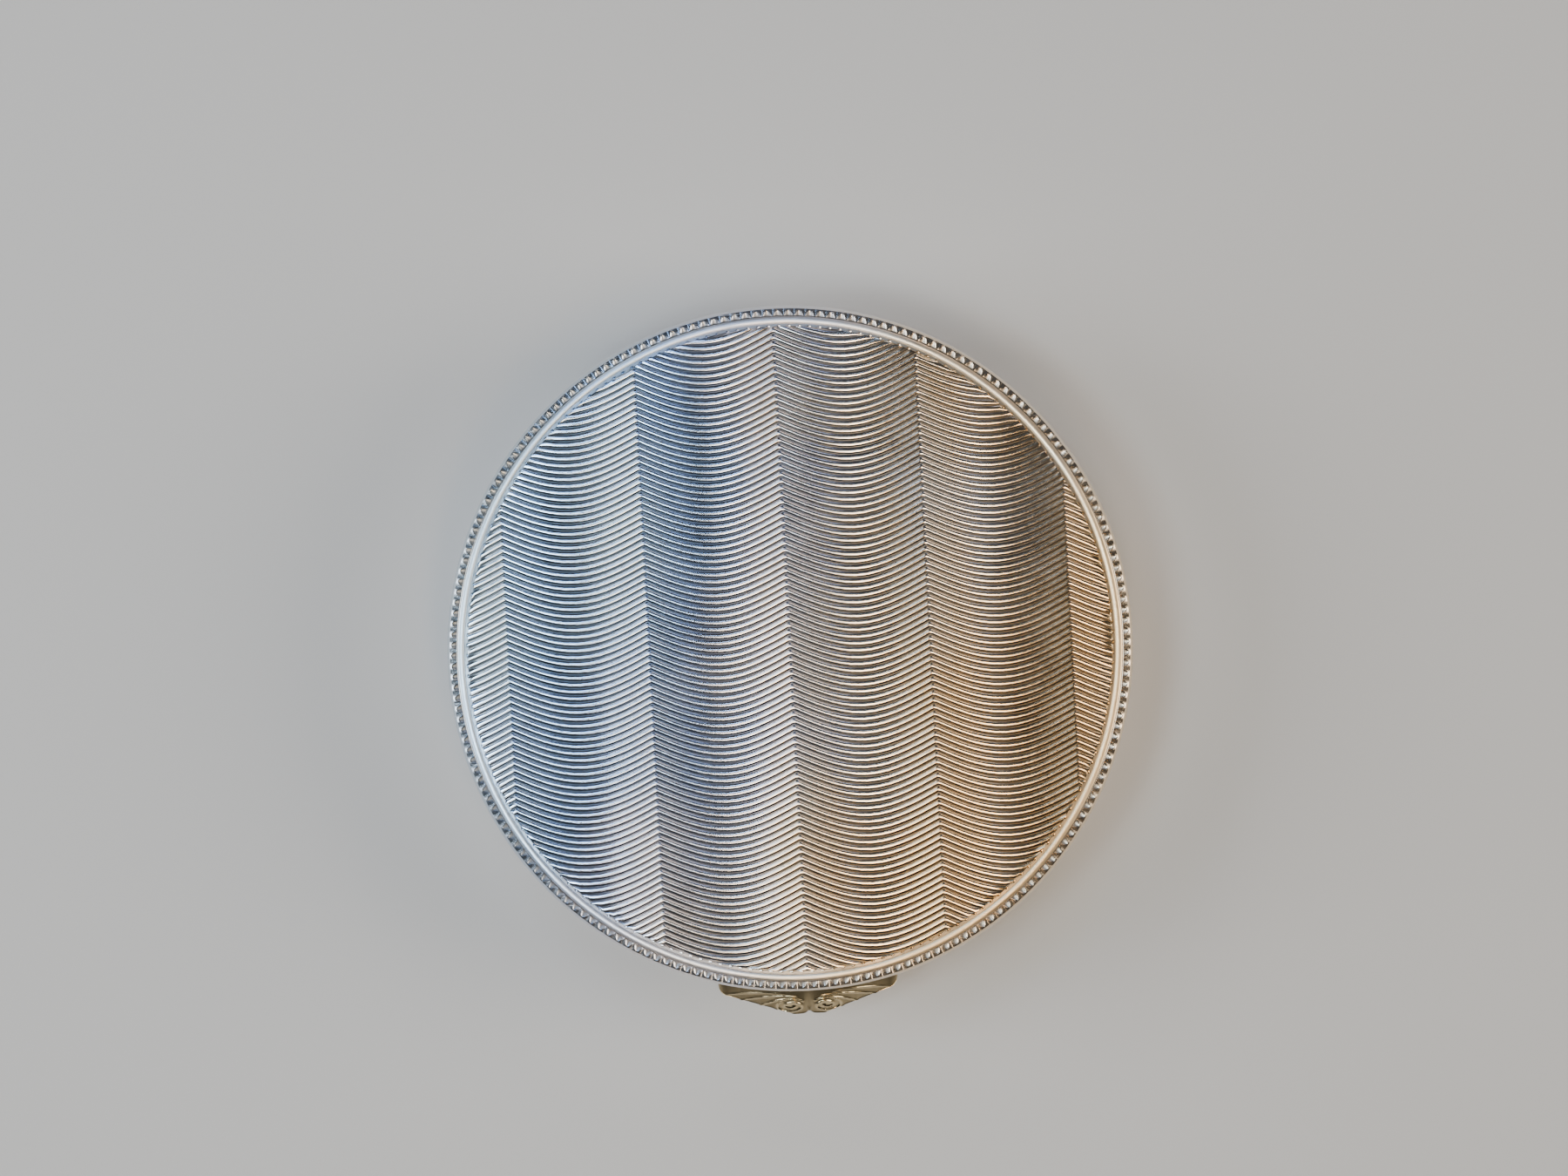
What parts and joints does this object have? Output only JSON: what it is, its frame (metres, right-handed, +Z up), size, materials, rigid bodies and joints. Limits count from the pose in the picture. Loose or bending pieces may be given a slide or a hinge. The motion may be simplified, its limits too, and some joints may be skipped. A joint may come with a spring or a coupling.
{
  "type": "hinged round pill box",
  "caption": "Round metal pill box with a wave-engraved hinged lid, a milled rim border, a scroll thumb-piece and a gilt inner bezel.",
  "frame": {"origin": "centre of the round underside, on the surface the box rests on", "axes": "+Z up through the lid; -Y towards the thumb-piece, +Y towards the hinge; +X along the hinge, to the right seen from the front"},
  "size_m": [0.05, 0.0519, 0.012],
  "materials": {
    "engraved_silver": "bright-cut engine turning",
    "polished_silver": "polished, light wear",
    "milled_silver": "milled half-moon border, polished edge",
    "cast_silver": "cast and chased, aged in the recesses",
    "satin_silver": "filed satin",
    "gilt_silver": "gilt wash, soft polish",
    "pin_wire": "drawn wire"
  },
  "bodies": {
    "base": {"base_plate": "engraved_silver", "base_rim": "milled_silver", "base_band": "polished_silver", "bezel_ring": "gilt_silver", "catch_lug": "gilt_silver", "base_hinge_bearer": "satin_silver", "base_knuckle_left": "satin_silver", "base_knuckle_centre": "satin_silver", "base_knuckle_right": "satin_silver", "hinge_pin": "pin_wire"},
    "lid": {"lid_plate": "engraved_silver", "lid_rim": "milled_silver", "lid_band": "polished_silver", "lid_hinge_bearer": "satin_silver", "lid_knuckle_left": "satin_silver", "lid_knuckle_right": "satin_silver", "thumb_piece": "cast_silver"}
  },
  "joints": [
    {"name": "lid_hinge", "type": "hinge", "parent": "base", "child": "lid", "pos_m": [0, 0.0233, 0.0078], "axis": [-1, 0, 0], "range_deg": [0, 100]}
  ]
}
